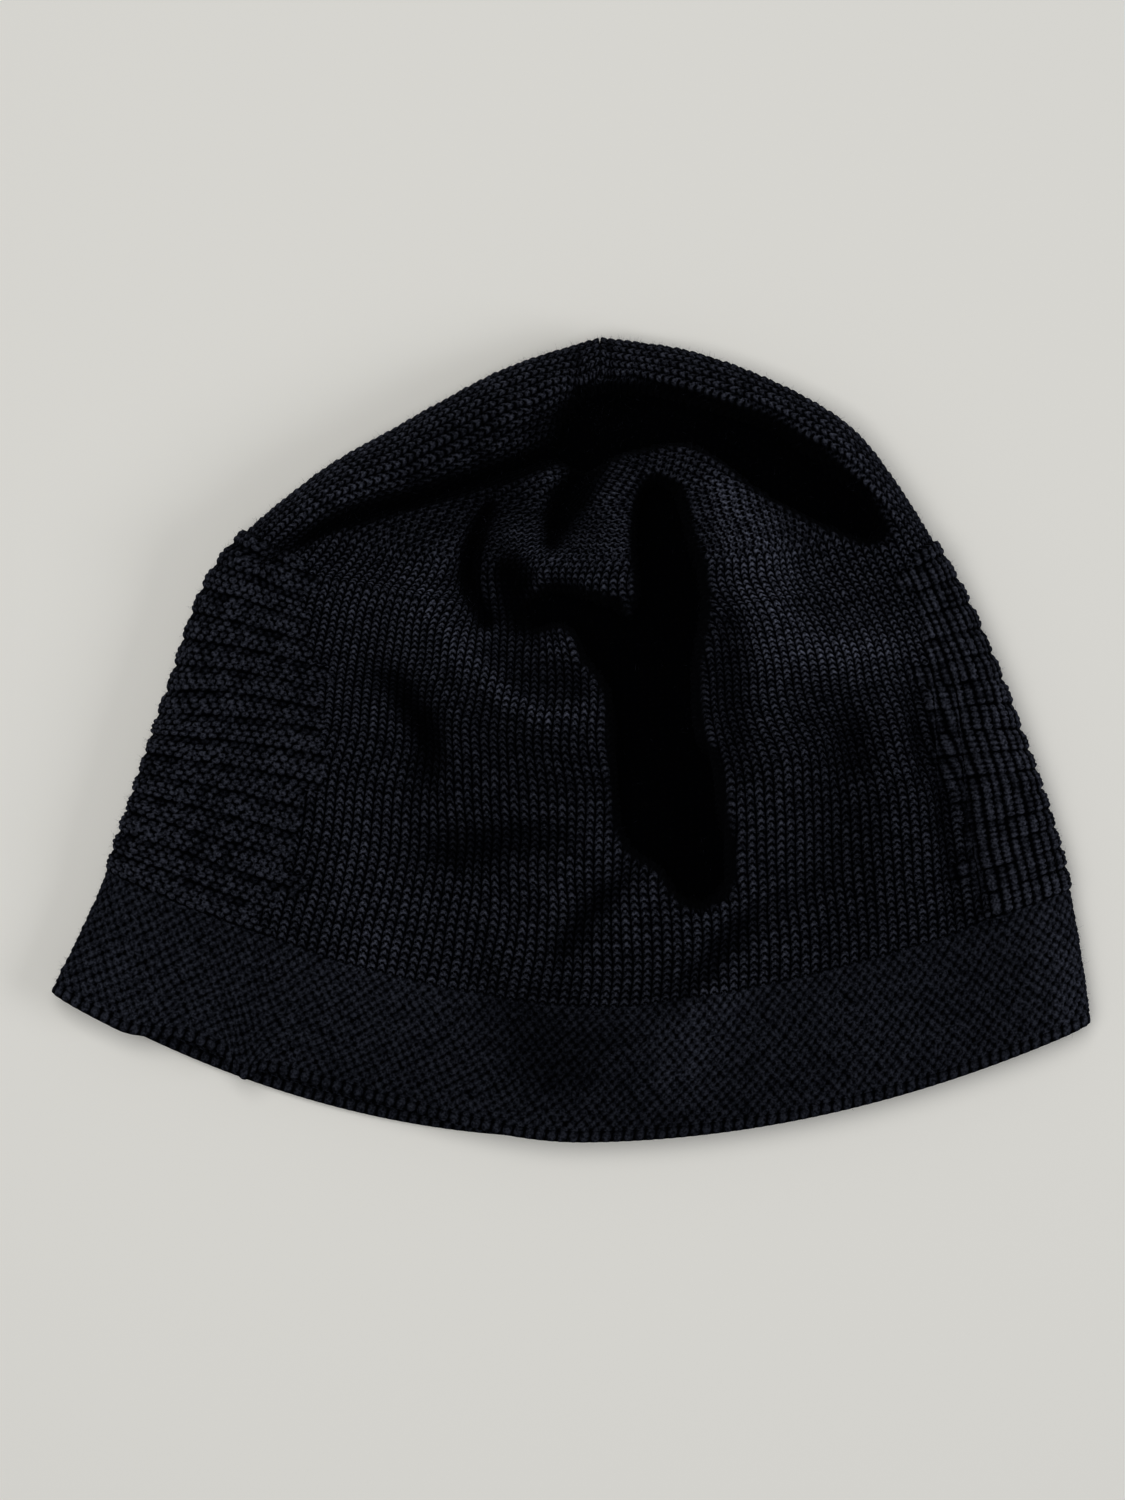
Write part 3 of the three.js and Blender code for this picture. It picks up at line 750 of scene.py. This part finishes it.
ROUGHNESS, SPECULAR = 0.95, 0.03
SHEEN, SHEEN_ROUGHNESS, SHEEN_TINT = 0.02, 0.5, (0.75, 0.80, 1.0)
FLECK_SCALE, FLECK_DETAIL = 1500, 3
FLECK_RANGE, FLECK_LEVELS = (0.32, 0.68), (0.22, 1.0)    # of the noise, and the share of light it leaves
BUMP_STRENGTH, BUMP_DISTANCE = 0.6, 0.0004


def wool(name, painted_shade, crest, low, high):
    """Wool yarn: near-black painted shade between the stitches, lighter crests, flecks of single fibres."""
    material = bpy.data.materials.new(name)
    material.use_nodes = True
    tree = material.node_tree
    shader = tree.nodes["Principled BSDF"]
    shader.inputs["Roughness"].default_value = ROUGHNESS
    shader.inputs["Specular IOR Level"].default_value = SPECULAR
    shader.inputs["Sheen Weight"].default_value = SHEEN
    shader.inputs["Sheen Roughness"].default_value = SHEEN_ROUGHNESS
    shader.inputs["Sheen Tint"].default_value = (*SHEEN_TINT, 1)
    coords = tree.nodes.new("ShaderNodeTexCoord")
    fleck = tree.nodes.new("ShaderNodeTexNoise")
    fleck.inputs["Scale"].default_value = FLECK_SCALE
    fleck.inputs["Detail"].default_value = FLECK_DETAIL
    tree.links.new(coords.outputs["Object"], fleck.inputs["Vector"])
    height = map_range(tree, attribute(tree, "relief"), low, high)
    flecks = map_range(tree, fleck.outputs["Fac"], *FLECK_RANGE, *FLECK_LEVELS)
    # Painted shade between the stitches from the relief, times the painted light of the shade attribute
    factor = product(tree, product(tree, height, flecks), attribute(tree, "shade"))
    mixer = tree.nodes.new("ShaderNodeMix")
    mixer.data_type = "RGBA"
    mixer.inputs["A"].default_value = (*painted_shade, 1)
    mixer.inputs["B"].default_value = (*crest, 1)
    tree.links.new(factor, mixer.inputs["Factor"])
    tree.links.new(mixer.outputs["Result"], shader.inputs["Base Color"])
    bump = tree.nodes.new("ShaderNodeBump")
    bump.inputs["Strength"].default_value = BUMP_STRENGTH
    bump.inputs["Distance"].default_value = BUMP_DISTANCE
    tree.links.new(fleck.outputs["Fac"], bump.inputs["Height"])
    tree.links.new(bump.outputs["Normal"], shader.inputs["Normal"])
    return material


# Painted shade: the near-black hollow colour stands in for the shade between the stitches
PAINTED_HOLLOW_SHADE = (0.0006, 0.0009, 0.0020)
CREST = (0.148, 0.157, 0.201)
HEM_CREST = (0.094, 0.101, 0.131)
# For each slot: name, painted shade colour of the hollows, crest colour, and the relief in mm where each
# begins
WOOL = {
    "knit_body": wool("wool_body", PAINTED_HOLLOW_SHADE, CREST, 0.15, 0.84),
    "knit_hem": wool("wool_hem", PAINTED_HOLLOW_SHADE, HEM_CREST, 0.10, 0.90),
    "cast_on_yarn": wool("wool_edge", PAINTED_HOLLOW_SHADE, HEM_CREST, 0.0, 0.60),
    "knit_crown": wool("wool_crown", PAINTED_HOLLOW_SHADE, CREST, 0.15, 0.84),
}

# ---------------------------------------------------------------- pieces
FRONT = knit_grid(True, FRONT_CELLS)
BACK = knit_grid(False, BACK_CELLS)
EDGE_J, HEM_J = EDGE_ROWS * ROW_CELLS, HEM_STITCH_ROWS * ROW_CELLS
CROWN_J, LAST_J = CROWN_ROW * ROW_CELLS, ROWS * ROW_CELLS
TIP_J = (CROWN_ROW + round((T_TIP - T_CROWN) / (1 - T_CROWN) * CROWN_STITCH_ROWS)) * ROW_CELLS


def piece(name, slot, grid, cells, i0, i1, j0, j1, body, nodes, side=0, fine_inside=False):
    part = cut(grid, i0 * cells, i1 * cells, j0, j1)
    if grid is BACK:
        part = flip(part)
    obj = shell(name, *part, (1, 1) if fine_inside else (cells // 2, ROW_CELLS // 2))
    obj.data.materials.append(WOOL[slot])
    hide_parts(*nodes)
    if side:
        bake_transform(obj)
    else:
        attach(obj, body)
    return obj


BANDS = [
    ("cast_on_edge", "cast_on_yarn", 0, EDGE_J),
    ("hem", "knit_hem", EDGE_J, HEM_J),
    ("panel", "knit_body", HEM_J, CROWN_J),
]
NODE_NAMES = {
    "cast_on_edge": ("cast_on_edge_back", "cast_on_edge_front", "cast_on_edge_back", "cast_on_edge_back"),
    "hem": ("hem_left", "hem_front", "hem_right", "hem_back"),
    "panel": ("left_side_panel", "front_panel", "right_side_panel", "back_panel"),
}


def band_pieces(band, slot, j0, j1):
    left, front, right, back = NODE_NAMES[band]
    uppers = [
        ("left_upper", left, -1, 0, LEFT_WALE),
        ("front_left_half", front, -1, LEFT_WALE, MID_WALE),
        ("front_right_half", front, 1, MID_WALE, RIGHT_WALE),
        ("right_upper", right, 1, RIGHT_WALE, WALES),
    ]
    unders = [
        ("left_under", left, 0, LEFT_WALE),
        ("right_under", right, RIGHT_WALE, WALES),
        ("back_knit", back, LEFT_WALE, RIGHT_WALE),
    ]
    for word, node, side, i0, i1 in uppers:
        piece(f"{band}_{word}", slot, FRONT, FRONT_CELLS, i0, i1, j0, j1, None, [node], side)
    fine_inside = band != "panel"
    for word, node, i0, i1 in unders:
        name = f"{band}_{word}"
        piece(name, slot, BACK, BACK_CELLS, i0, i1, j0, j1, "back_layer", [node], 0, fine_inside)


def crown_pieces(word, i0, i1):
    bands = [
        ("crown", f"crown_{word}_gore", CROWN_J, TIP_J),
        ("crown_tip", "crown_tip", TIP_J, LAST_J),
    ]
    for grid, cells, layer in ((FRONT, FRONT_CELLS, "upper"), (BACK, BACK_CELLS, "under")):
        for part, node, j0, j1 in bands:
            name = f"{part}_{word}_{layer}"
            piece(name, "knit_crown", grid, cells, i0, i1, j0, j1, "back_layer", [node])


for band in BANDS:
    band_pieces(*band)
crown_pieces("left", 0, MID_WALE)
crown_pieces("right", MID_WALE, WALES)


# ---------------------------------------------------------------- loose fibres
HAIR_CORNERS, HAIR_TAPER = 3, (1.0, 0.85, 0.6, 0.25)
HAIR_LENGTH, HAIR_RADIUS, HAIR_BEND = (0.7, 2.0), 0.022, 0.6
HAIR_ROOT, HAIR_LEAN, HAIR_RISE = 0.1, 0.9, 0.25     # depth of the root, spread of the lean, least rise
HAIR_SEED, RIM_CROWDING = 40, 2.0


def fibre_mesh(name, roots, directions, lengths, radius, bend, seed_number):
    """Thin three-sided hairs, each a small closed tube that bends as it leaves the yarn."""
    count = len(roots)
    corners, spans = HAIR_CORNERS, len(HAIR_TAPER) - 1
    draw = np.random.default_rng(seed_number)
    across = np.cross(directions, draw.normal(size=(count, 3)))
    across /= np.linalg.norm(across, axis=1, keepdims=True)
    other = np.cross(directions, across)
    rings = []
    for k, taper in enumerate(HAIR_TAPER):
        f = k / spans
        centre = roots + directions * (lengths * f)[:, None] + across * (bend * lengths * f * f)[:, None]
        for corner in range(corners):
            angle = corner * math.tau / corners
            rings.append(centre + (across * math.cos(angle) + other * math.sin(angle)) * radius * taper)
    points = np.stack(rings, 1).reshape(-1, 3)
    base = np.arange(count)[:, None] * corners * (spans + 1)
    quads = []
    for low in range(0, corners * spans, corners):
        for c in range(corners):
            d = (c + 1) % corners
            quads.append([low + c, low + d, low + corners + d, low + corners + c])
    root, point = list(range(corners)), list(range(corners * spans, corners * (spans + 1)))
    flat = [x for quad in quads for x in quad] + root[::-1] + point
    loops = (base + np.array(flat)[None, :]).ravel()
    sizes = np.tile([4] * len(quads) + [corners, corners], count)
    starts = np.concatenate([[0], np.cumsum(sizes)[:-1]])
    ones = np.ones(len(points))
    return mesh_object(name, to_frame(points), loops, starts, np.zeros((len(points), 2)), ones, ones,
                       np.zeros(len(points), bool))


def fuzz(name, grid, i0, i1, j0, j1, count, seed_number, rim):
    """Short fibres standing off the yarn. rim draws more of them near the side folds."""
    p, n, _, _, h, _ = cut(grid, i0, i1, j0, j1)
    draw = np.random.default_rng(seed_number)
    rows = draw.integers(0, h.shape[0], count)
    spread = draw.random(count)
    columns = ((spread ** rim if i0 == 0 else 1 - spread ** rim) * (h.shape[1] - 1)).astype(int)
    out = n[rows, columns]
    roots = p[rows, columns] + out * (h[rows, columns] - HAIR_ROOT)[:, None]
    lean = out + HAIR_LEAN * draw.normal(size=(count, 3))
    lean += out * np.clip(HAIR_RISE - (lean * out).sum(1), 0, None)[:, None]
    lean /= np.linalg.norm(lean, axis=1, keepdims=True)
    lengths = draw.uniform(*HAIR_LENGTH, count)
    bend = draw.uniform(-HAIR_BEND, HAIR_BEND, count)
    return fibre_mesh(name, roots, lean, lengths, HAIR_RADIUS, bend, seed_number)


# Name, slot, wales, rows, number of fibres, and their side (0 for none, which attaches them to the back
# layer)
FUZZ = [
    ("fuzz_body_left", "knit_body", 0, MID_WALE, 0, CROWN_J, 1500, -1),
    ("fuzz_body_right", "knit_body", MID_WALE, WALES, 0, CROWN_J, 1500, 1),
    ("fuzz_crown_left", "knit_crown", 0, MID_WALE, CROWN_J, LAST_J, 900, 0),
    ("fuzz_crown_right", "knit_crown", MID_WALE, WALES, CROWN_J, LAST_J, 900, 0),
]
for order, (name, slot, i0, i1, j0, j1, count, side) in enumerate(FUZZ):
    columns = i0 * FRONT_CELLS, i1 * FRONT_CELLS
    hairs = fuzz(name, FRONT, *columns, j0, j1, count, HAIR_SEED + order, RIM_CROWDING)
    hairs.data.materials.append(WOOL[slot])
    if side:
        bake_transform(hairs)
    else:
        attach(hairs, "back_layer")


# ---------------------------------------------------------------- floor, light and camera, in metres
FLOOR_HALF, FLOOR_COLOUR, FLOOR_ROUGHNESS = 3.0, (0.80, 0.79, 0.76), 0.9
# Windows: name, place, width, depth, power and colour
WINDOWS = [
    ("window", (-0.25, 0.15, 1.6), 1.6, 1.0, 14, (1.0, 0.99, 0.97)),
    ("second_window", (1.5, -0.3, 1.0), 0.8, 0.8, 5.8, (0.97, 0.98, 1.0)),
]
SKY_COLOUR, SKY_STRENGTH = (0.93, 0.97, 1.0), 0.117
CAMERA_PLACE, CLIP_START = (-0.0022, -0.0027, 0.75), 0.01
VIEW_HEIGHT, VIEW_LEVEL = 0.390, 0.01    # the picture's height, on a level this far above the surface


def floor():
    mesh = bpy.data.meshes.new("floor")
    r = FLOOR_HALF
    mesh.from_pydata([(-r, -r, 0), (r, -r, 0), (r, r, 0), (-r, r, 0)], [], [(0, 1, 2, 3)])
    obj = bpy.data.objects.new("floor", mesh)
    bpy.context.collection.objects.link(obj)
    material = bpy.data.materials.new("pale_floor")
    material.use_nodes = True
    shader = material.node_tree.nodes["Principled BSDF"]
    shader.inputs["Base Color"].default_value = (*FLOOR_COLOUR, 1)
    shader.inputs["Roughness"].default_value = FLOOR_ROUGHNESS
    obj.data.materials.append(material)


def area_light(name, place, width, depth, power, colour):
    light = bpy.data.lights.new(name, "AREA")
    light.shape = "RECTANGLE"
    light.size = width
    light.size_y = depth
    light.energy = power
    light.color = colour
    obj = bpy.data.objects.new(name, light)
    bpy.context.collection.objects.link(obj)
    obj.location = place
    obj.rotation_euler = (-Vector(place)).to_track_quat("-Z", "Y").to_euler()


floor()
for values in WINDOWS:
    area_light(*values)
world = bpy.data.worlds.new("studio")
bpy.context.scene.world = world
world.use_nodes = True
world.node_tree.nodes["Background"].inputs["Color"].default_value = (*SKY_COLOUR, 1)
world.node_tree.nodes["Background"].inputs["Strength"].default_value = SKY_STRENGTH
bpy.context.scene.view_settings.view_transform = "Standard"
bpy.context.scene.view_settings.look = "High Contrast"

camera = bpy.data.cameras.new("camera")
camera.sensor_fit = "VERTICAL"
camera.angle_y = 2 * math.atan(VIEW_HEIGHT / 2 / (CAMERA_PLACE[2] - VIEW_LEVEL))
camera.clip_start = CLIP_START
eye = bpy.data.objects.new("camera", camera)
bpy.context.collection.objects.link(eye)
eye.location = CAMERA_PLACE
bpy.context.scene.camera = eye
